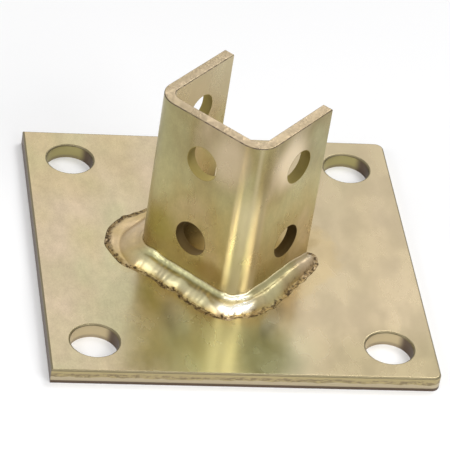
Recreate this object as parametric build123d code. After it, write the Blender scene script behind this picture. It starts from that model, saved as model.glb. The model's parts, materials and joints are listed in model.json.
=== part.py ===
from build123d import *
import os

# Channel post base: a square steel plate that is bolted down through its four corners, and a
# bracket folded from one strip that is welded upright on it, turned 45 degrees to the plate.
# The foot of a channel post slides down into the bracket and is bolted through its holes.
# Millimetres, +Z up. The origin is the middle of the plate's underside, +X runs along its
# front edge and +Y to its back edge.

# Base plate
plate_width = 152.4
plate_depth = 152.4
plate_thickness = 6.35
plate_corner_radius = 3.6       # the two right-hand corners; the left-hand ones are square
anchor_edge_distance = 18.2     # from an anchor hole's centre to each of its two nearest edges
anchor_hole_diameter = 19.05
plate_edge_roll = 0.8           # drawn-in edge that shearing and punching leave on the top face

# Bracket
bracket_wall = 4.55
bracket_height = 76.2
socket_width = 44.3             # clear width between the two flanges
flange_depth = 44.45            # from the outside of the web to the flanges' free edges
bend_inside_radius = 4.76
bracket_turn = -45.0            # degrees about Z, web facing the front left corner
bolt_hole_diameter = 14.3
lower_bolt_height = 20.6        # lower holes above the plate's top face
upper_bolt_drop = 19.05         # upper holes below the bracket's top edge
flange_bolt_setback = 27.0      # flange holes from the outside of the web
bracket_edge_roll = 0.4

# Weld round the outside of the bracket's foot, laid in two passes
weld_leg_plate = 9.0            # along the plate, out from the bracket
weld_leg_face = 6.2             # up the bracket's faces
upper_pass_reach = 3.4          # where the passes meet: out from the bracket ...
upper_pass_height = 4.0         # ... and above the plate
upper_pass_crown = 0.4          # how far each pass bulges past its chord
lower_pass_crown = 1.1
weld_end_overrun = 4.5          # how far the rounded ends run past the flanges' free edges
weld_end_sweep = 125.0          # degrees that each end curls round, from the flange's outside

# Worked out from the sizes above
anchor_spacing_x = plate_width - 2 * anchor_edge_distance
anchor_spacing_y = plate_depth - 2 * anchor_edge_distance
outer_width = socket_width + 2 * bracket_wall
bend_outside_radius = bend_inside_radius + bracket_wall
web_outside_y = -flange_bolt_setback
flange_end_y = web_outside_y + flange_depth

# The bracket's own frame stands on the plate's top face: x runs along the web, y into the
# socket. The line through the flange holes crosses over the middle of the plate.
bracket_frame = Pos(0, 0, plate_thickness) * Rot(0, 0, bracket_turn)


def make_base_plate():
    """Square plate with rounded right-hand corners and four punched anchor holes."""
    outline = Rectangle(plate_width, plate_depth)
    right_corners = outline.vertices().group_by(Axis.X)[-1]
    outline = fillet(right_corners, plate_corner_radius)
    anchors = GridLocations(anchor_spacing_x, anchor_spacing_y, 2, 2)
    outline -= anchors * Circle(anchor_hole_diameter / 2)
    plate = extrude(outline, plate_thickness)
    top_edges = plate.edges().group_by(Axis.Z)[-1]
    return fillet(top_edges, plate_edge_roll)


def make_bracket():
    """Strip folded twice to a U, with two bolt holes through each of its three walls."""
    outside_line = FilletPolyline(
        (-outer_width / 2, flange_end_y),
        (-outer_width / 2, web_outside_y),
        (outer_width / 2, web_outside_y),
        (outer_width / 2, flange_end_y),
        radius=bend_outside_radius,
    )
    bracket = make_brake_formed(
        thickness=bracket_wall, station_widths=bracket_height, line=outside_line, side=Side.LEFT
    )
    bracket -= bolt_holes()
    top_edges = bracket.edges().group_by(Axis.Z)[-1]
    return bracket_frame * fillet(top_edges, bracket_edge_roll)


def bolt_holes():
    """Drills for the web, and for both flanges at once."""
    radius = bolt_hole_diameter / 2
    through_web = Cylinder(radius, 2 * bracket_wall, rotation=(90, 0, 0))
    through_flanges = Cylinder(radius, 2 * outer_width, rotation=(0, 90, 0))
    drills = []
    for height in (lower_bolt_height, bracket_height - upper_bolt_drop):
        drills.append(Pos(0, web_outside_y + bracket_wall / 2, height) * through_web)
        drills.append(Pos(0, web_outside_y + flange_bolt_setback, height) * through_flanges)
    return drills


def weld_section(root, outward):
    """Section of the two passes on a vertical plane, with the root at the foot of the wall."""
    section_plane = Plane(origin=root, x_dir=outward, z_dir=outward.cross(Vector(0, 0, 1)))
    corner = Vector(0, 0)
    plate_toe = Vector(weld_leg_plate, 0)
    face_toe = Vector(0, weld_leg_face)
    meeting = Vector(upper_pass_reach, upper_pass_height)
    border = [
        Line(corner, plate_toe),
        crowned_line(plate_toe, meeting, lower_pass_crown),
        crowned_line(meeting, face_toe, upper_pass_crown),
        Line(face_toe, corner),
    ]
    return section_plane * make_face(border)


def crowned_line(start, end, crown):
    """Arc from start to end that bulges by crown to the right of its way."""
    chord = end - start
    bulge = Vector(chord.Y, -chord.X).normalized() * crown
    return ThreePointArc(start, (start + end) / 2 + bulge, end)


def make_weld(bracket):
    """Bead along the left flange, the web and the right flange, with ends that curl round."""
    half = outer_width / 2
    bend_y = web_outside_y + bend_outside_radius
    run_end_y = flange_end_y + weld_end_overrun - weld_leg_plate
    flange_run = run_end_y - bend_y
    web_run = outer_width - 2 * bend_outside_radius
    left, right, front = Vector(-1, 0, 0), Vector(1, 0, 0), Vector(0, -1, 0)
    pieces = [extrude(weld_section(Vector(-web_run / 2, web_outside_y), front), web_run, dir=(1, 0, 0))]
    for side, outward in ((-1, left), (1, right)):
        at_bend = weld_section(Vector(side * half, bend_y), outward)
        at_end = weld_section(Vector(side * half, run_end_y), outward)
        bend_axis = Axis((side * (half - bend_outside_radius), bend_y, 0), (0, 0, -side))
        end_axis = Axis((side * half, run_end_y, 0), (0, 0, side))
        pieces.append(extrude(at_bend, flange_run, dir=(0, 1, 0)))
        pieces.append(revolve(at_bend, bend_axis, 90))
        pieces.append(revolve(at_end, end_axis, weld_end_sweep))
    bead = pieces[0].fuse(*pieces[1:])
    return bracket_frame * bead - bracket


bracket = make_bracket()
nodes = {
    "base_plate": make_base_plate(),
    "channel_bracket": bracket,
    "weld_bead": make_weld(bracket),
}

os.makedirs("parts", exist_ok=True)
for name, shape in nodes.items():
    export_step(shape, f"parts/{name}.step")
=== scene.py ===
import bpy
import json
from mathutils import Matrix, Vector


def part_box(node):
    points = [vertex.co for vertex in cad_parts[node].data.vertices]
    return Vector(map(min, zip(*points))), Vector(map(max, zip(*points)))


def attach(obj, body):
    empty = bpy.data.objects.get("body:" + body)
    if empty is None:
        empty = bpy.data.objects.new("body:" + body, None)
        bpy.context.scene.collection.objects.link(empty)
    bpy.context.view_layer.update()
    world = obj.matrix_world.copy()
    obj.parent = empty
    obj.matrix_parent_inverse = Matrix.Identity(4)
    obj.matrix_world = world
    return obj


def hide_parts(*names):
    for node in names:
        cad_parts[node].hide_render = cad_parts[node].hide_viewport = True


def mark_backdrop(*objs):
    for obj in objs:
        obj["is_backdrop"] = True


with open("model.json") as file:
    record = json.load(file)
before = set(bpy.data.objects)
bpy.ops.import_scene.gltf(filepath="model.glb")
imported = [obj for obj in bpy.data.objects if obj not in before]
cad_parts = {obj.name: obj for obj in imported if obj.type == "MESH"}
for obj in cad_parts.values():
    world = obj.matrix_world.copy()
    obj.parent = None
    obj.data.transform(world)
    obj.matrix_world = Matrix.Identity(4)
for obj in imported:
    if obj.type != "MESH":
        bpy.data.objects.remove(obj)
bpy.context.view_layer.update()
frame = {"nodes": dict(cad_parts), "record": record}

import json
import math

import bmesh
import bpy
from mathutils import Matrix, Vector, noise

# Dresses the channel post base: yellow zinc on its plate and bracket, a rippled two-pass bead
# in place of the plain one, a pale floor, soft lamps and the camera.
# Scene lengths are metres, +Z up. Sizes and patterns of the part are written in millimetres.
MM = 0.001

# Sizes taken from the frame, and the few that it doesn't hold
MOUNTS = {mount["name"]: mount for mount in frame["record"]["mounts"]}
PLATE_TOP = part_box("base_plate")[1].z / MM
BRACKET_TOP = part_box("channel_bracket")[1].z / MM
WALL = MOUNTS["web_bolt_lower"]["dims"]["length_mm"]
OUTER_WIDTH = MOUNTS["flange_bolt_lower"]["dims"]["length_mm"]
WEB_SETBACK = Vector(MOUNTS["web_bolt_lower"]["pos_m"][:2]).length / MM + WALL / 2
BOLT_RADIUS = MOUNTS["web_bolt_lower"]["dims"]["r_mm"]
BOLT_LOW = MOUNTS["web_bolt_lower"]["pos_m"][2] / MM
BOLT_HIGH = MOUNTS["web_bolt_upper"]["pos_m"][2] / MM
ANCHOR_RADIUS = MOUNTS["anchor_holes"]["dims"]["hole_r_mm"]
ANCHOR_OFFSET = MOUNTS["anchor_holes"]["dims"]["spacing_x_mm"] / 2
FLANGE_DEPTH = 44.45
BEND_INSIDE = 4.76
EDGE_ROLL = 0.8
BRACKET_TURN = math.radians(-45)

HALF_WIDTH = OUTER_WIDTH / 2
BEND_RADIUS = BEND_INSIDE + WALL
FLANGE_END = FLANGE_DEPTH - WEB_SETBACK
BEND_LINE = BEND_RADIUS - WEB_SETBACK
FLANGE_RUN = FLANGE_END - BEND_LINE
WEB_RUN = OUTER_WIDTH - 2 * BEND_RADIUS


def linear(red, green, blue):
    """Linear colour from the 0 to 255 values that a screen shows."""
    def one(value):
        share = value / 255
        return share / 12.92 if share <= 0.04045 else ((share + 0.055) / 1.055) ** 2.4
    return (one(red), one(green), one(blue), 1.0)


# How far one step of a noise's seed moves its pattern
NOISE_STEP = (17.3, 9.1, 5.7)


class Shader:
    """A metal material whose patterns are laid out in millimetres of the part's own frame."""

    def __init__(self, name):
        self.material = bpy.data.materials.new(name)
        self.material.use_nodes = True
        self.tree = self.material.node_tree
        self.surface = self.tree.nodes["Principled BSDF"]
        place = self.add("ShaderNodeTexCoord").outputs["Object"]
        self.place = self.vector_math("MULTIPLY", place, (1 / MM,) * 3)
        self.x, self.y, self.z = self.split(self.place)
        normal = self.add("ShaderNodeNewGeometry").outputs["Normal"]
        self.facing_x, self.facing_y, self.facing_z = self.split(normal)
        turn = self.add("ShaderNodeVectorRotate", rotation_type="Z_AXIS")
        self.link(self.place, turn.inputs["Vector"])
        turn.inputs["Angle"].default_value = -BRACKET_TURN
        self.along_web, self.into_socket, _ = self.split(turn.outputs[0])

    def add(self, kind, **settings):
        node = self.tree.nodes.new(kind)
        for key, value in settings.items():
            setattr(node, key, value)
        return node

    def link(self, source, target):
        if hasattr(source, "is_output"):
            self.tree.links.new(source, target)
        else:
            target.default_value = source

    def split(self, vector):
        node = self.add("ShaderNodeSeparateXYZ")
        self.link(vector, node.inputs[0])
        return node.outputs

    def vector_math(self, operation, vector, amounts):
        node = self.add("ShaderNodeVectorMath", operation=operation)
        self.link(vector, node.inputs[0])
        node.inputs[1].default_value = amounts
        return node.outputs[0]

    def math(self, operation, first, second=0.0):
        node = self.add("ShaderNodeMath", operation=operation)
        self.link(first, node.inputs[0])
        self.link(second, node.inputs[1])
        return node.outputs[0]

    def chained(self, operation, values):
        """All the values put together by one operation, from the left."""
        result = values[0]
        for value in values[1:]:
            result = self.math(operation, result, value)
        return result

    def product(self, *values):
        return self.chained("MULTIPLY", values)

    def total(self, *values):
        return self.chained("ADD", values)

    def highest(self, *values):
        return self.chained("MAXIMUM", values)

    def absolute(self, value):
        return self.math("ABSOLUTE", value)

    def rest_of(self, share):
        """What share leaves of 1."""
        return self.math("SUBTRACT", 1.0, share)

    def away_from(self, value, centre):
        return self.absolute(self.math("SUBTRACT", value, centre))

    def length(self, first, second):
        """Length of the flat vector with these two sides."""
        squares = self.total(self.math("POWER", first, 2), self.math("POWER", second, 2))
        return self.math("SQRT", squares)

    def noise(self, size, detail=3.0, rough=0.55, stretch=(1, 1, 1), seed=0.0):
        """Noise of 0 to 1 whose blotches are about size millimetres across."""
        node = self.add("ShaderNodeTexNoise")
        moved = self.vector_math("ADD", self.place, [step * seed for step in NOISE_STEP])
        stretched = self.vector_math("MULTIPLY", moved, [1 / share for share in stretch])
        self.link(stretched, node.inputs["Vector"])
        node.inputs["Scale"].default_value = 1 / size
        node.inputs["Detail"].default_value = detail
        node.inputs["Roughness"].default_value = rough
        return node.outputs["Fac"]

    def ramp(self, value, low, high, out_low=0.0, out_high=1.0):
        """Smooth step of value from low to high, given out as out_low to out_high."""
        node = self.add("ShaderNodeMapRange", interpolation_type="SMOOTHSTEP")
        self.link(value, node.inputs["Value"])
        node.inputs["From Min"].default_value = low
        node.inputs["From Max"].default_value = high
        node.inputs["To Min"].default_value = out_low
        node.inputs["To Max"].default_value = out_high
        return node.outputs["Result"]

    def wander(self, value, size, reach, seed):
        """value pushed to and fro by up to reach, in waves of about size millimetres."""
        waves = self.noise(size, 3, 0.6, seed=seed)
        return self.total(value, self.ramp(waves, 0.3, 0.7, -reach, reach))

    def band(self, value, centre, half_width, soft):
        """1 within half_width of centre, falling to 0 over soft."""
        return self.ramp(self.away_from(value, centre), half_width, half_width + soft, 1.0, 0.0)

    def patch(self, across, up, centre, half_size):
        """Soft oval of 1 at centre, falling to 0 at half_size along each of its two ways."""
        sides = [
            self.product(self.math("SUBTRACT", value, middle), 1 / half)
            for value, middle, half in zip((across, up), centre, half_size)
        ]
        return self.ramp(self.length(*sides), 0.25, 1.0, 1.0, 0.0)

    def mix(self, share, first, second, blend="MIX"):
        node = self.add("ShaderNodeMix", data_type="RGBA", blend_type=blend)
        self.link(share, node.inputs["Factor"])
        self.link(first, node.inputs["A"])
        self.link(second, node.inputs["B"])
        return node.outputs["Result"]

    def grey(self, value):
        node = self.add("ShaderNodeCombineColor")
        for channel in node.inputs:
            self.link(value, channel)
        return node.outputs[0]

    def finish(self, colour, roughness, dull, metal_lost):
        """Coats the surface. It loses metal_lost of its metal look where dull is 1."""
        self.link(colour, self.surface.inputs["Base Color"])
        self.link(roughness, self.surface.inputs["Roughness"])
        metallic = self.rest_of(self.product(dull, metal_lost))
        self.link(metallic, self.surface.inputs["Metallic"])

    def bump(self, height, strength, distance):
        node = self.add("ShaderNodeBump")
        self.link(height, node.inputs["Height"])
        node.inputs["Strength"].default_value = strength
        node.inputs["Distance"].default_value = distance * MM
        if self.surface.inputs["Normal"].is_linked:
            self.link(self.surface.inputs["Normal"].links[0].from_socket, node.inputs["Normal"])
        self.link(node.outputs["Normal"], self.surface.inputs["Normal"])

    def dress(self, piece):
        piece.data.materials.clear()
        piece.data.materials.append(self.material)


# Colours that the pieces share, then those of the plate, the bracket and the bead
ZINC_TAN = linear(202, 186, 153)
ZINC_PINK = linear(214, 190, 168)
ZINC_GREEN = linear(190, 190, 146)
ZINC_GOLD = linear(200, 174, 116)
EDGE_MARK_AND_SHADE = linear(104, 90, 78)

PLATE_RIGHT_SHADE = linear(188, 172, 140)
NEAR_RIGHT_REFLECTION = linear(154, 142, 108)
PLATE_FRONT_REFLECTION = linear(194, 206, 172)
PLATE_BRACKET_REFLECTION = linear(126, 126, 88)
SOCKET_FLOOR_SHADE = linear(112, 88, 28)
HOLE_WALL_FRONT = linear(200, 184, 148)
HOLE_WALL_BACK = linear(174, 164, 114)
HOLE_WALL_FOOT = linear(130, 118, 108)
SHEARED = linear(176, 161, 120)
SHEAR_BROKEN = linear(188, 175, 147)
EDGE_ROLLED_SHADE = linear(120, 110, 82)

BRACKET_UPPER_REFLECTION = linear(150, 136, 94)
BRACKET_LOWER_REFLECTION = linear(180, 166, 118)
BRACKET_HEATED = linear(150, 128, 62)
BRACKET_BEND_HIGHLIGHT = linear(204, 190, 152)
BRACKET_TOP_EDGE = linear(182, 163, 135)
WEB_PINK_REFLECTION = linear(206, 188, 158)
FLANGE_PINK_REFLECTION = linear(224, 206, 174)
WEB_GOLD = linear(156, 146, 62)
WEB_BROWN = linear(134, 106, 58)
SOCKET_TOP_LIT = linear(206, 190, 158)
SOCKET_STAIN_AND_SHADE = linear(84, 66, 26)
BORE_LOWER = linear(84, 62, 20)
BORE_UPPER = linear(156, 140, 78)

BEAD_TAN = linear(178, 166, 132)
BEAD_HOLLOW_SHADE = linear(150, 144, 106)
BEAD_LEFT = linear(176, 156, 112)
BEAD_RIGHT = linear(140, 126, 92)
BEAD_BEND_HIGHLIGHT = linear(238, 234, 220)
BEAD_TOE_TAN = linear(158, 136, 84)
PUDDLE_TAN = linear(174, 153, 106)
FILM_TAN = linear(158, 136, 88)
SOOT = linear(66, 49, 20)
SOOT_BROWN = linear(124, 100, 52)

# Blooms, and patches of painted reflection and highlight: the middle of each and its half size, both
# ways.
# On the plate they lie in x and y, on the web along it and up, on the flange into the socket and up, on
# the bead in the bracket's plan.
NEAR_RIGHT_REFLECTION_PATCH = ((62, -72), (62, 34))
PLATE_FRONT_REFLECTION_PATCH = ((-10, -60), (44, 42))
PLATE_BRACKET_REFLECTION_PATCH = ((8, -66), (17, 26))
WEB_PINK_REFLECTION_PATCH = ((12, 64), (13, 17))
WEB_GOLD_BLOOM = ((-16, 19), (13, 11))
WEB_BROWN_BLOOM = ((11, 10), (12, 7))
FLANGE_PINK_REFLECTION_PATCH = ((-6, 62), (14, 17))
BEAD_BEND_HIGHLIGHT_PATCH = ((28, -29), (10, 10))

# Heights on the plate's sheared sides: the torn line, the change from the drawn band above to the
# broken one below, and the top of the painted shade along the lower edge
TORN_LINE = 3.9
SHEAR_BREAK = 3.0
LOWER_EDGE_SHADE_TOP = 1.1
# Into the socket: a place just past the web's holes, and one just before the flanges' holes
PAST_WEB_BORES = -20.0
BEFORE_FLANGE_BORES = -8.0
# Darkest line of the painted shade in the bead's hollow upper pass, as a share of the way across
HOLLOW_ACROSS = 0.30


def clouded(shader, base, stretch, seed, pink, green, gold):
    """Passivated zinc over base: pink, green and gold blooms, a mottle and a fine grain."""
    blooms = shader.noise(26, 2, 0.5, stretch, seed)
    colour = shader.mix(shader.ramp(blooms, 0.48, 0.70, 0.0, pink), base, ZINC_PINK)
    colour = shader.mix(shader.ramp(blooms, 0.52, 0.34, 0.0, green), colour, ZINC_GREEN)
    golds = shader.ramp(shader.noise(38, 2, 0.5, stretch, seed + 3), 0.50, 0.72, 0.0, gold)
    colour = shader.mix(golds, colour, ZINC_GOLD)
    mottle = shader.ramp(shader.noise(3.2, 3, 0.6, stretch, seed + 5), 0.3, 0.7, 0.94, 1.04)
    grain = shader.ramp(shader.noise(0.7, 2, 0.6, stretch, seed + 7), 0.3, 0.7, 0.96, 1.03)
    return shader.mix(1.0, colour, shader.grey(shader.product(mottle, grain)), "MULTIPLY")


def satin(shader, stretch, seed, low, high):
    """Roughness in patches from low to high, over a faint orange peel and a fine grain."""
    shader.bump(shader.noise(9.0, 2, 0.5, stretch, seed + 13), 0.14, 0.05)
    shader.bump(shader.noise(1.2, 2, 0.5, stretch, seed + 17), 0.12, 0.010)
    return shader.ramp(shader.noise(11, 3, 0.55, stretch, seed + 11), 0.3, 0.7, low, high)


def plate_shade_and_reflections(shader, colour):
    """Painted shade to the right, and painted reflections along the front: dark tan, pale green and
    olive.
    """
    # Painted shade, darker towards the right
    right = shader.ramp(shader.wander(shader.x, 60, 20, 41), -40, 30)
    colour = shader.mix(shader.product(right, 0.8), colour, PLATE_RIGHT_SHADE)
    # Painted reflection, a dark tan patch at the front right
    near_right_reflection = shader.patch(shader.wander(shader.x, 40, 8, 45), shader.y, *NEAR_RIGHT_REFLECTION_PATCH)
    colour = shader.mix(shader.product(near_right_reflection, 0.6), colour, NEAR_RIGHT_REFLECTION)
    # Painted reflection, a pale green patch at the front
    front_reflection = shader.patch(shader.x, shader.y, *PLATE_FRONT_REFLECTION_PATCH)
    colour = shader.mix(shader.product(front_reflection, 0.6), colour, PLATE_FRONT_REFLECTION)
    # Painted reflection of the bracket, olive, in front of the bead
    bracket_reflection = shader.patch(shader.wander(shader.x, 30, 3, 47), shader.y, *PLATE_BRACKET_REFLECTION_PATCH)
    return shader.mix(shader.product(bracket_reflection, 0.7), colour, PLATE_BRACKET_REFLECTION)


def socket_floor(shader):
    """1 on the plate inside the bracket, falling to 0 past the flanges' free edges."""
    return shader.product(
        shader.ramp(shader.absolute(shader.along_web), HALF_WIDTH - 2, HALF_WIDTH - 7),
        shader.ramp(shader.wander(shader.into_socket, 14, 4, 43), FLANGE_END + 26, FLANGE_END - 2),
        shader.ramp(shader.into_socket, WALL - WEB_SETBACK - 1, WALL - WEB_SETBACK),
    )


def anchor_bores(shader):
    """1 on the walls of the anchor holes."""
    off_centre = [
        shader.away_from(shader.absolute(axis), ANCHOR_OFFSET) for axis in (shader.x, shader.y)
    ]
    return shader.ramp(shader.length(*off_centre), ANCHOR_RADIUS + 0.9, ANCHOR_RADIUS + 0.3)


def plate_zinc():
    shader = Shader("plate_zinc")
    stretch = (1, 1.8, 1)
    colour = clouded(shader, ZINC_TAN, stretch, 1.0, pink=0.5, green=0.45, gold=0.25)
    colour = plate_shade_and_reflections(shader, colour)
    # Painted shade, and a painted reflection of the bracket's dark inside, on the plate within the
    # socket
    colour = shader.mix(shader.product(socket_floor(shader), 0.95), colour, SOCKET_FLOOR_SHADE)
    # Gold heat tint round the bead
    heat = shader.ramp(shader.wander(foot_distance(shader), 7, 1.6, 21), 9.0, 15.0, 1.0, 0.0)
    colour = shader.mix(shader.product(heat, 0.30), colour, ZINC_GOLD)
    # Walls of the anchor holes
    in_hole = anchor_bores(shader)
    hole_wall = shader.mix(shader.ramp(shader.y, -20, 20), HOLE_WALL_FRONT, HOLE_WALL_BACK)
    hole_wall = shader.mix(shader.ramp(shader.z, 2.0, 0.8, 0.0, 0.5), hole_wall, HOLE_WALL_FOOT)
    colour = shader.mix(in_hole, colour, hole_wall)
    # Sheared sides: a drawn band above, a torn line, a broken band below and painted shade along the
    # lower edge
    side = shader.product(shader.ramp(shader.facing_z, 0.5, 0.2), shader.rest_of(in_hole))
    height = shader.wander(shader.z, 6, 0.35, 6)
    broken = shader.ramp(height, SHEAR_BREAK + 0.3, SHEAR_BREAK - 0.3)
    colour = shader.mix(side, colour, shader.mix(broken, SHEARED, SHEAR_BROKEN))
    scuffs = shader.ramp(shader.noise(1.3, 3, 0.7, (2.2, 2.2, 1), 8), 0.40, 0.62)
    torn = shader.product(side, shader.band(height, TORN_LINE, 0.45, 0.7), scuffs)
    colour = shader.mix(shader.product(torn, 0.55), colour, EDGE_MARK_AND_SHADE)
    # Painted contact shade along the lower edge
    lower_edge_shade = shader.product(side, shader.ramp(shader.z, LOWER_EDGE_SHADE_TOP + 0.5, LOWER_EDGE_SHADE_TOP))
    # What faces left is painted dark over its whole height, as shade
    left_side_shade = shader.ramp(shader.facing_x, -0.5, -0.8)
    colour = shader.mix(shader.highest(lower_edge_shade, left_side_shade), colour, EDGE_MARK_AND_SHADE)
    # Rolled upper edge, duller than the face, and painted darker as shade
    near_top = shader.ramp(shader.z, PLATE_TOP - EDGE_ROLL, PLATE_TOP - 0.6)
    rolled = shader.product(near_top, edge_share(shader, 0.978))
    colour = shader.mix(rolled, colour, EDGE_ROLLED_SHADE)
    satin_share = satin(shader, stretch, 1.0, 0.20, 0.29)
    shader.bump(shader.product(torn, scuffs), 0.6, 0.25)
    roughness = shader.highest(satin_share, shader.product(shader.highest(rolled, side, in_hole), 0.42))
    shader.finish(colour, roughness, rolled, 0.35)
    return shader


def edge_share(shader, flat):
    """1 where the surface leans, 0 where it is level to within the cosine flat, or upright."""
    lean = shader.absolute(shader.facing_z)
    return shader.product(shader.ramp(lean, flat + 0.02, flat), shader.ramp(lean, 0.05, 0.2))


def foot_distance(shader):
    """Distance in millimetres out from the bracket's outside, in the flat."""
    middle = (BEND_LINE + FLANGE_END) / 2
    beyond_x = shader.math("SUBTRACT", shader.absolute(shader.along_web), WEB_RUN / 2)
    beyond_y = shader.math("SUBTRACT", shader.away_from(shader.into_socket, middle), FLANGE_RUN / 2)
    sides = [shader.highest(beyond, 0.0) for beyond in (beyond_x, beyond_y)]
    return shader.math("SUBTRACT", shader.length(*sides), BEND_RADIUS)


def bore_share(shader, across):
    """1 on the walls of the bolt holes that run at right angles to the across coordinate."""
    middle, half = (BOLT_HIGH + BOLT_LOW) / 2, (BOLT_HIGH - BOLT_LOW) / 2
    rise = shader.away_from(shader.away_from(shader.z, middle), half)
    return shader.ramp(shader.length(across, rise), BOLT_RADIUS + 0.25, BOLT_RADIUS + 0.1)


def bolt_bores(shader):
    """1 on the walls of all the bolt holes."""
    at_web = shader.ramp(shader.into_socket, PAST_WEB_BORES + 2, PAST_WEB_BORES)
    at_flanges = shader.ramp(shader.into_socket, BEFORE_FLANGE_BORES - 1, BEFORE_FLANGE_BORES)
    return shader.highest(
        shader.product(bore_share(shader, shader.along_web), at_web),
        shader.product(bore_share(shader, shader.into_socket), at_flanges),
    )


def low_bend_highlight(shader, height):
    """1 low on the bend between the web and the right flange, where a highlight is painted."""
    return shader.product(
        shader.ramp(shader.along_web, WEB_RUN / 2 - 1, WEB_RUN / 2 + 1),
        shader.ramp(shader.into_socket, BEND_LINE + 1, BEND_LINE - 2),
        shader.ramp(height, 60, 42),
    )


def bracket_blooms_and_reflections(shader, height, colour):
    """Pale pink at the upper holes of web and right flange, a tone lightened as painted reflection;
    gold and brown low on the web.
    """
    on_web = shader.ramp(shader.into_socket, WALL / 2 - WEB_SETBACK, -WEB_SETBACK + 0.5)
    on_flange = shader.ramp(shader.along_web, HALF_WIDTH - 0.6, HALF_WIDTH - 0.1)
    # Pink tone lightened as painted reflection, high on web and right flange
    web_pink_reflection = shader.patch(shader.along_web, height, *WEB_PINK_REFLECTION_PATCH)
    flange_pink_reflection = shader.patch(shader.into_socket, height, *FLANGE_PINK_REFLECTION_PATCH)
    pink = shader.highest(shader.product(on_web, web_pink_reflection), shader.product(on_flange, flange_pink_reflection))
    pink_reflection_share = shader.product(pink, shader.ramp(on_flange, 0, 1, 0.75, 0.95))
    colour = shader.mix(pink_reflection_share, colour, shader.mix(on_flange, WEB_PINK_REFLECTION, FLANGE_PINK_REFLECTION))
    gold = shader.patch(shader.along_web, height, *WEB_GOLD_BLOOM)
    colour = shader.mix(shader.product(on_web, gold, 0.55), colour, WEB_GOLD)
    brown = shader.patch(shader.along_web, height, *WEB_BROWN_BLOOM)
    return shader.mix(shader.product(on_web, brown, 0.45), colour, WEB_BROWN)


def socket_walls(shader):
    """1 on the bracket's faces inside the socket."""
    return shader.product(
        shader.ramp(shader.absolute(shader.along_web), HALF_WIDTH - 1.5, HALF_WIDTH - 3),
        shader.ramp(shader.into_socket, 2 - WEB_SETBACK, 3.5 - WEB_SETBACK),
    )


def draw_out_upright(shader):
    """Reflections stretched by a grain whose tangent is the upright direction."""
    upright = shader.add("ShaderNodeCombineXYZ")
    upright.inputs["Z"].default_value = 1.0
    shader.link(upright.outputs[0], shader.surface.inputs["Tangent"])
    shader.surface.inputs["Anisotropic"].default_value = 0.85


def bracket_zinc():
    shader = Shader("bracket_zinc")
    stretch = (1, 1, 1.6)
    height = shader.math("SUBTRACT", shader.z, PLATE_TOP)
    # Painted reflection: darker high up and lighter low down
    tones = shader.mix(shader.ramp(height, 62, 34), BRACKET_UPPER_REFLECTION, BRACKET_LOWER_REFLECTION)
    colour = clouded(shader, tones, stretch, 2.0, pink=0.35, green=0.35, gold=0.15)
    # Brown heat tint above the bead, and a painted highlight low on the bend
    heat = shader.ramp(shader.wander(height, 9, 3.5, 23), 9.0, 20.0, 1.0, 0.0)
    colour = shader.mix(shader.product(heat, 0.45), colour, BRACKET_HEATED)
    # Painted highlight low on the bend
    colour = shader.mix(shader.product(low_bend_highlight(shader, height), 0.8), colour, BRACKET_BEND_HIGHLIGHT)
    colour = bracket_blooms_and_reflections(shader, height, colour)
    # Inside of the socket: painted light at the top, and duller with staining and painted shade towards
    # the plate
    inside = socket_walls(shader)
    socket_lit = shader.product(inside, shader.ramp(height, 40, 58))
    socket_stain_and_shade = shader.product(inside, shader.ramp(height, 26, 8))
    colour = shader.mix(shader.product(socket_lit, 0.6), colour, SOCKET_TOP_LIT)
    colour = shader.mix(shader.product(socket_stain_and_shade, 0.9), colour, SOCKET_STAIN_AND_SHADE)
    bores = bolt_bores(shader)
    bore_colour = shader.mix(shader.ramp(height, 30, 45), BORE_LOWER, BORE_UPPER)
    colour = shader.mix(shader.product(bores, 0.9), colour, bore_colour)
    # Rolled upper edges, dull and with dark dashes, partly burr and partly painted shade, round the
    # paler level top
    near_top = shader.ramp(shader.z, BRACKET_TOP - 0.5, BRACKET_TOP - 0.35)
    rolled = shader.product(near_top, edge_share(shader, 0.96))
    dashes = shader.ramp(shader.noise(2.4, 2, 0.6, seed=31), 0.38, 0.58, 0.45, 0.95)
    colour = shader.mix(shader.product(rolled, dashes), colour, EDGE_MARK_AND_SHADE)
    top = shader.product(shader.ramp(shader.facing_z, 0.97, 0.99), shader.ramp(height, 60, 70))
    colour = shader.mix(shader.product(top, 0.8), colour, BRACKET_TOP_EDGE)
    satin_share = satin(shader, stretch, 2.0, 0.25, 0.38)
    dull = shader.highest(rolled, socket_stain_and_shade, bores)
    shader.finish(colour, shader.highest(satin_share, shader.product(dull, 0.75)), dull, 0.3)
    draw_out_upright(shader)
    return shader


def bead_tones(shader, across, bend_highlight, film):
    """Colours along the bead and across it, from its lip out to the film past its toe."""
    # Painted shade along the hollow of the upper pass
    colour = shader.mix(shader.band(across, HOLLOW_ACROSS, 0.10, 0.12), BEAD_TAN, BEAD_HOLLOW_SHADE)
    colour = shader.mix(shader.ramp(shader.along_web, -14, -24), colour, BEAD_LEFT)
    right = shader.ramp(shader.along_web, HALF_WIDTH - 1, HALF_WIDTH + 3)
    colour = shader.mix(shader.product(right, 0.7), colour, BEAD_RIGHT)
    # Painted highlight at the bend
    colour = shader.mix(shader.product(bend_highlight, 0.9), colour, BEAD_BEND_HIGHLIGHT)
    colour = shader.mix(shader.ramp(across, 0.74, 0.96), colour, BEAD_TOE_TAN)
    colour = shader.mix(shader.ramp(across, 1.0, 1.1), colour, PUDDLE_TAN)
    return shader.mix(film, colour, FILM_TAN)


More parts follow.
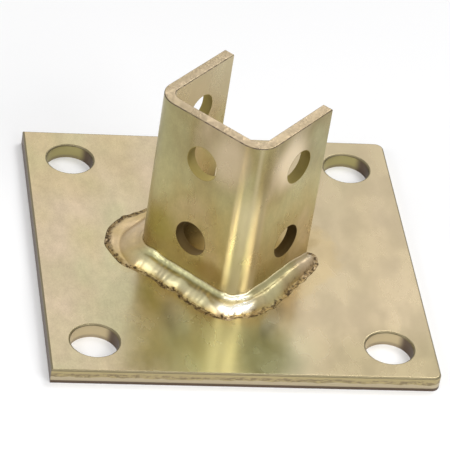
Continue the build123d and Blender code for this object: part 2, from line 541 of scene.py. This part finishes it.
def weld_zinc():
    """Zinc on the bead by where it lies across: passes 0 to 1, puddle to 2, soot film to 3."""
    shader = Shader("weld_zinc")
    across, past_toe, soot = (
        shader.add("ShaderNodeAttribute", attribute_name=mark).outputs["Fac"] for mark in BEAD_MARKS
    )
    # Where the bead's painted highlight at the bend lies
    bend_highlight = shader.patch(shader.along_web, shader.into_socket, *BEAD_BEND_HIGHLIGHT_PATCH)
    film = shader.ramp(across, 2.0, 2.3)
    tones = bead_tones(shader, across, bend_highlight, film)
    colour = clouded(shader, tones, (1, 1, 1), 3.0, pink=0.35, green=0.4, gold=0.1)
    # Soot from the toe outwards, frayed at its far edge, with darker dots in it
    dots = shader.ramp(shader.noise(1.5, 3, 0.65, seed=4), 0.42, 0.60)
    start = shader.ramp(shader.wander(past_toe, 2.5, 0.7, 12), -0.9, 0.3)
    frayed = shader.wander(shader.wander(past_toe, 1.3, 1.1, 19), 4.0, 0.8, 27)
    spread = shader.math("SUBTRACT", frayed, shader.product(soot, 2.6))
    burnt = shader.product(start, shader.ramp(spread, 0.3, -0.7), shader.ramp(dots, 0, 1, 0.7, 1.0))
    colour = shader.mix(burnt, colour, shader.mix(dots, SOOT_BROWN, SOOT))
    patches = satin(shader, (1, 1, 1), 3.0, 0.34, 0.46)
    shader.bump(shader.noise(2.4, 3, 0.6, seed=51), 0.35, 0.10)
    smoother = shader.math("SUBTRACT", patches, shader.product(bend_highlight, 0.20))
    dull = shader.highest(burnt, shader.product(film, 0.8))
    shader.finish(colour, shader.highest(smoother, shader.product(dull, 0.7)), dull, 0.4)
    return shader


# Section of the bead, out from the bracket's face and up from the plate: a lip at the face, the
# hollow upper pass, the crest of the lower pass and its toe
BEAD_SECTION = (
    (0.0, 6.2), (0.5, 6.2), (1.0, 5.8), (1.5, 5.15), (2.2, 4.6), (3.0, 4.3), (3.9, 4.2),
    (4.9, 3.95), (6.0, 3.35), (7.1, 2.4), (8.0, 1.4), (8.7, 0.65), (9.0, 0.3),
)
SECTION_LEG, SECTION_LIP = BEAD_SECTION[-1][0], BEAD_SECTION[0][1]
# How the bead changes along the foot, by distance from the left flange's free edge: the reach of
# its toe and the height of its lip
BEAD_TOE = (
    (-11.0, 5.8), (-8.0, 5.8), (-4.0, 4.4), (0.0, 4.8), (8.0, 7.6), (15.0, 9.6), (23.0, 11.7),
    (29.0, 13.3), (31.5, 14.3), (37.0, 14.3), (41.0, 13.0), (46.0, 10.7), (51.0, 8.4), (57.0, 7.9),
    (64.0, 8.8), (69.0, 7.7), (74.0, 9.1), (85.0, 9.5), (89.5, 9.0), (92.0, 7.0), (97.0, 6.4),
    (102.0, 7.4), (109.0, 7.0), (121.0, 5.4), (131.0, 4.6), (136.0, 3.9), (139.0, 4.4),
    (143.0, 6.2), (145.5, 5.8),
)
BEAD_LIP = (
    (-11.0, 3.0), (-4.0, 4.2), (2.0, 5.0), (42.0, 5.0), (51.0, 5.9), (57.0, 5.1), (84.0, 4.9),
    (87.0, 5.4), (89.5, 4.9), (94.0, 5.5), (98.0, 6.9), (105.0, 6.5), (123.0, 7.1), (132.0, 6.1),
    (138.0, 4.4), (145.5, 3.0),
)
# Strength of the ripples, and of the soot beyond the toe
BEAD_RIPPLE = (
    (-11.0, 0.5), (40.0, 0.6), (56.0, 0.7), (83.0, 0.75), (88.0, 0.35), (98.0, 0.3), (146.0, 0.5),
)
BEAD_SOOT = (
    (-11.0, 0.5), (20.0, 0.5), (27.0, 0.8), (46.0, 0.8), (51.0, 0.45), (58.0, 1.0), (66.0, 1.0),
    (69.0, 0.6), (73.0, 1.0), (87.0, 1.0), (92.0, 0.5), (98.0, 0.6), (101.0, 1.0), (112.0, 1.0),
    (116.0, 0.75), (146.0, 0.7),
)
# What each point of the bead's mesh carries for its material
BEAD_MARKS = ("across", "past_toe", "soot")
BEAD_STEP = 0.3
BEAD_CURL = math.radians(125)
CURL_RADIUS = 5.0
RIPPLE_PITCH = 2.9
RIPPLE_HEIGHT = 0.08
LUMP_HEIGHT = 0.18
PUDDLE_HEIGHT = 0.5
FILM_HEIGHT = 0.04
FILM_WIDTH = 1.7
FILM_WANDER = 0.6
TOE_WANDER = 0.25
LIP_WANDER = 0.04
LEAST_RISE = 0.12
# Low diagonal ridge where the lower pass was taken up again: along the foot, and out from it
RESTART_FROM, RESTART_TO = Vector((81.0, 4.5)), Vector((88.5, 8.6))
RESTART_HEIGHT = 0.35
RESTART_WIDTH = 0.75


def wobble(*place):
    """Smooth noise of about -1 to 1 at a place given by three numbers."""
    return noise.noise(Vector(place))


def smooth_between(points, where):
    """Smoothly blended value of the two points on either side of where."""
    if where <= points[0][0]:
        return points[0][1]
    for (low, first), (high, second) in zip(points, points[1:]):
        if where <= high:
            share = (where - low) / (high - low)
            return first + (second - first) * share * share * (3 - 2 * share)
    return points[-1][1]


def bead_stations():
    """Walks round the foot of the bracket: (root, outward, distance along), end to end."""
    def outward(angle):
        return Vector((math.cos(angle), math.sin(angle)))
    right_angle = math.pi / 2
    legs = (
        ("turn", BEAD_CURL, 0.0), ("run", FLANGE_RUN, 0.0), ("turn", right_angle, BEND_RADIUS),
        ("run", WEB_RUN, 0.0), ("turn", right_angle, BEND_RADIUS), ("run", FLANGE_RUN, 0.0),
        ("turn", BEAD_CURL, 0.0),
    )
    root = Vector((-HALF_WIDTH, FLANGE_END))
    angle = math.pi - BEAD_CURL
    along = -BEAD_CURL * CURL_RADIUS
    yield root, outward(angle), along
    for kind, amount, radius in legs:
        length = amount if kind == "run" else amount * (radius or CURL_RADIUS)
        steps = max(2, round(length / BEAD_STEP))
        for _ in range(steps):
            if kind == "run":
                root = root + outward(angle + right_angle) * (amount / steps)
            else:
                centre = root - outward(angle) * radius
                angle += amount / steps
                root = centre + outward(angle) * radius
            along += length / steps
            yield root, outward(angle), along


def section_point(share):
    """Catmull-Rom point on the bead's section, share 0 at the face to 1 at its foot."""
    last = len(BEAD_SECTION) - 1
    index = min(int(share * last), last - 1)
    t = share * last - index
    a, b, c, d = (Vector(BEAD_SECTION[min(max(index + k, 0), last)]) for k in (-1, 0, 1, 2))
    line, square, cube = c - a, 2 * a - 5 * b + 4 * c - d, 3 * b - a - 3 * c + d
    return 0.5 * (2 * b + line * t + square * t * t + cube * t ** 3)


def ripple(along, share):
    """Height of the frozen ripples, which bow along the bead, with small lumps among them."""
    bow = 1.5 * (2 * share - 1.1) ** 2
    drift = 0.9 * wobble(along * 0.16, 3.1, share * 0.8)
    crest = math.sin(2 * math.pi * ((along + bow) / RIPPLE_PITCH + drift))
    strength = smooth_between(BEAD_RIPPLE, along) * (0.8 + 0.5 * wobble(along * 0.09, 7.7, 1.3))
    lumps = wobble(along * 0.28, share * 7, 2.2) + 0.4 * wobble(along * 0.9, share * 8, 4.4)
    fade = math.sin(math.pi * share) ** 0.7
    return fade * strength * (RIPPLE_HEIGHT * crest + LUMP_HEIGHT * lumps)


def restart_ridge(along, reach):
    """Height of the ridge where the lower pass was taken up again."""
    run = RESTART_TO - RESTART_FROM
    spot = Vector((along, reach)) - RESTART_FROM
    share = min(max(spot.dot(run) / run.length_squared, 0.0), 1.0)
    away = (spot - run * share).length
    fall = math.exp(-((away / RESTART_WIDTH) ** 2))
    return RESTART_HEIGHT * fall * math.sin(math.pi * (0.15 + 0.8 * share))


def bead_row(along, columns, puddle_columns):
    """Section as points (reach, rise, across, past the toe), from the lip out and back under."""
    toe = smooth_between(BEAD_TOE, along) + TOE_WANDER * wobble(along * 0.3, 0.4, 9.0)
    lip = smooth_between(BEAD_LIP, along) * (1 + LIP_WANDER * wobble(along * 0.2, 5.0, 2.0))
    passes = min(SECTION_LEG, toe - 0.2)
    puddle = PUDDLE_HEIGHT * min(1.0, (toe - passes) / 2)
    row = []
    for column in range(columns):
        share = column / (columns - 1)
        point = section_point(share)
        reach = point.x * passes / SECTION_LEG
        lift = ripple(along, share) + restart_ridge(along, reach)
        rise = max(point.y * lip / SECTION_LIP + lift, puddle, LEAST_RISE)
        row.append((reach + 0.3 * lift, rise, share))
    foot_reach, foot_rise, _ = row[-1]
    for column in range(1, puddle_columns + 1):
        share = column / puddle_columns
        fall = math.sqrt(max(0.0, 1 - max(0.0, (share - 0.75) / 0.25) ** 2))
        waves = 0.25 * puddle * wobble(along * 0.35, share * 2.5, 6.1)
        reach = foot_reach + (toe - foot_reach) * share
        row.append((reach, max((foot_rise + waves) * fall, FILM_HEIGHT), 1 + share))
    width = FILM_WIDTH + FILM_WANDER * wobble(along * 0.35, 8.8, 0.7)
    row += [(toe + 0.6 * width, FILM_HEIGHT, 2.6), (toe + width, 0.0, 3.0)]
    row.append((0.0, 0.0, 0.0))
    return [(reach, rise, across, reach - toe) for reach, rise, across in row]


def make_bead(columns=28, puddle_columns=8):
    """Weld metal as a closed sweep of its section, with the film of soot past its toe."""
    onto_plate = Matrix.Translation((0, 0, PLATE_TOP)) @ Matrix.Rotation(BRACKET_TURN, 4, "Z")
    to_part = Matrix.Scale(MM, 4) @ onto_plate
    mesh = bmesh.new()
    for mark in BEAD_MARKS:
        mesh.verts.layers.float.new(mark)
    layers = [mesh.verts.layers.float[mark] for mark in BEAD_MARKS]
    rows = []
    for root, outward, along in bead_stations():
        row = []
        for reach, rise, *marks in bead_row(along, columns, puddle_columns):
            vertex = mesh.verts.new(to_part @ Vector((*(root + outward * reach), rise)))
            for layer, mark in zip(layers, (*marks, smooth_between(BEAD_SOOT, along))):
                vertex[layer] = mark
            row.append(vertex)
        rows.append(row)
    for first, second in zip(rows, rows[1:]):
        for i in range(len(first)):
            j = (i + 1) % len(first)
            mesh.faces.new((first[i], first[j], second[j], second[i]))
    mesh.faces.new(rows[0])
    mesh.faces.new(reversed(rows[-1]))
    bmesh.ops.recalc_face_normals(mesh, faces=mesh.faces)
    return as_object("weld_passes", mesh)


def as_object(name, mesh):
    """Smooth-shaded object from a bmesh, in the scene."""
    data = bpy.data.meshes.new(name)
    mesh.to_mesh(data)
    mesh.free()
    data.shade_smooth()
    piece = bpy.data.objects.new(name, data)
    bpy.context.scene.collection.objects.link(piece)
    return piece


bead = make_bead()
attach(bead, "root")
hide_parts("weld_bead")
weld_zinc().dress(bead)
plate_zinc().dress(frame["nodes"]["base_plate"])
bracket_zinc().dress(frame["nodes"]["channel_bracket"])

# Studio: how strongly the white surroundings light the part, how much of the floor shows as plain
# white, its colour, and the point that the lamps look at
AMBIENT = 0.33
FLOOR_WHITENING = 0.15
FLOOR_COLOUR = (0.93, 0.93, 0.935, 1)
LAMP_TARGET = Vector((0, 0, 30)) * MM


def seen_ray(tree):
    """1 for camera, mirror and see-through rays, which see the studio whiter than it lights."""
    path = tree.nodes.new("ShaderNodeLightPath")
    total = path.outputs["Is Camera Ray"]
    for name in ("Is Glossy Ray", "Is Transmission Ray"):
        node = tree.nodes.new("ShaderNodeMath")
        node.operation = "MAXIMUM"
        tree.links.new(total, node.inputs[0])
        tree.links.new(path.outputs[name], node.inputs[1])
        total = node.outputs[0]
    return total


def make_floor():
    """Pale level floor under the part that takes its shadow."""
    mesh = bmesh.new()
    bmesh.ops.create_grid(mesh, x_segments=8, y_segments=8, size=4.0)
    floor = as_object("floor", mesh)
    material = bpy.data.materials.new("floor")
    material.use_nodes = True
    tree = material.node_tree
    tree.nodes.clear()
    output = tree.nodes.new("ShaderNodeOutputMaterial")
    diffuse = tree.nodes.new("ShaderNodeBsdfDiffuse")
    diffuse.inputs["Color"].default_value = FLOOR_COLOUR
    white = tree.nodes.new("ShaderNodeEmission")
    share = tree.nodes.new("ShaderNodeMath")
    share.operation = "MULTIPLY"
    share.inputs[1].default_value = FLOOR_WHITENING
    tree.links.new(seen_ray(tree), share.inputs[0])
    blend = tree.nodes.new("ShaderNodeMixShader")
    tree.links.new(share.outputs[0], blend.inputs[0])
    tree.links.new(diffuse.outputs[0], blend.inputs[1])
    tree.links.new(white.outputs[0], blend.inputs[2])
    tree.links.new(blend.outputs[0], output.inputs["Surface"])
    floor.data.materials.append(material)
    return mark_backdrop(floor)


def make_world():
    world = bpy.data.worlds.new("studio")
    bpy.context.scene.world = world
    world.use_nodes = True
    tree = world.node_tree
    background = tree.nodes["Background"]
    background.inputs["Color"].default_value = (1, 1, 1, 1)
    strength = tree.nodes.new("ShaderNodeMapRange")
    strength.inputs["To Min"].default_value = AMBIENT
    strength.inputs["To Max"].default_value = 1.0
    tree.links.new(seen_ray(tree), strength.inputs["Value"])
    tree.links.new(strength.outputs[0], background.inputs["Strength"])


def make_softbox(name, azimuth, elevation, distance, size, radiance):
    """Flat lamp that looks at the part. radiance is what a mirror would show of it.

    Azimuth 0 is a lamp on the +X side, and 90 one on the +Y side.
    """
    lamp = bpy.data.lights.new(name, "AREA")
    lamp.shape = "RECTANGLE"
    lamp.size, lamp.size_y = size
    lamp.energy = radiance * math.pi * size[0] * size[1]
    holder = bpy.data.objects.new(name, lamp)
    turn, tilt = math.radians(azimuth), math.radians(elevation)
    level = math.cos(tilt)
    away = Vector((math.cos(turn) * level, math.sin(turn) * level, math.sin(tilt)))
    holder.location = LAMP_TARGET + away * distance
    holder.rotation_euler = away.to_track_quat("Z", "Y").to_euler()
    bpy.context.scene.collection.objects.link(holder)


# The photograph's view: azimuth 0 looks along +Y and turns towards +X
CAMERA_AZIMUTH = math.radians(12.56)
CAMERA_ELEVATION = math.radians(37.06)
CAMERA_ROLL = math.radians(-9.44)
CAMERA_DISTANCE = 1.3785
CAMERA_LENS = 270.7
CAMERA_TARGET = Vector((3.55, 25.0, 0.0)) * MM


def make_camera():
    data = bpy.data.cameras.new("camera")
    data.sensor_width = 36.0
    data.lens = CAMERA_LENS
    data.clip_start, data.clip_end = 0.05, 20.0
    camera = bpy.data.objects.new("camera", data)
    level = math.cos(CAMERA_ELEVATION)
    forward = Vector((
        math.sin(CAMERA_AZIMUTH) * level,
        math.cos(CAMERA_AZIMUTH) * level,
        -math.sin(CAMERA_ELEVATION),
    ))
    upright = forward.to_track_quat("-Z", "Y").to_matrix().to_4x4()
    roll = Matrix.Rotation(CAMERA_ROLL, 4, forward)
    place = Matrix.Translation(CAMERA_TARGET - forward * CAMERA_DISTANCE)
    camera.matrix_world = place @ roll @ upright
    bpy.context.scene.collection.objects.link(camera)
    bpy.context.scene.camera = camera


make_floor()
make_world()
make_softbox("left_strip", 215, 37, distance=0.9, size=(0.32, 0.22), radiance=8.5)
make_softbox("right_strip", 301, 37, distance=0.9, size=(0.52, 0.22), radiance=8.0)
make_softbox("front_softbox", 262, 68, distance=1.0, size=(0.32, 0.32), radiance=5.5)
make_softbox("back_softbox", 45, 57, distance=1.8, size=(0.85, 0.85), radiance=5.9)
make_camera()
bpy.context.scene.view_settings.view_transform = "Standard"
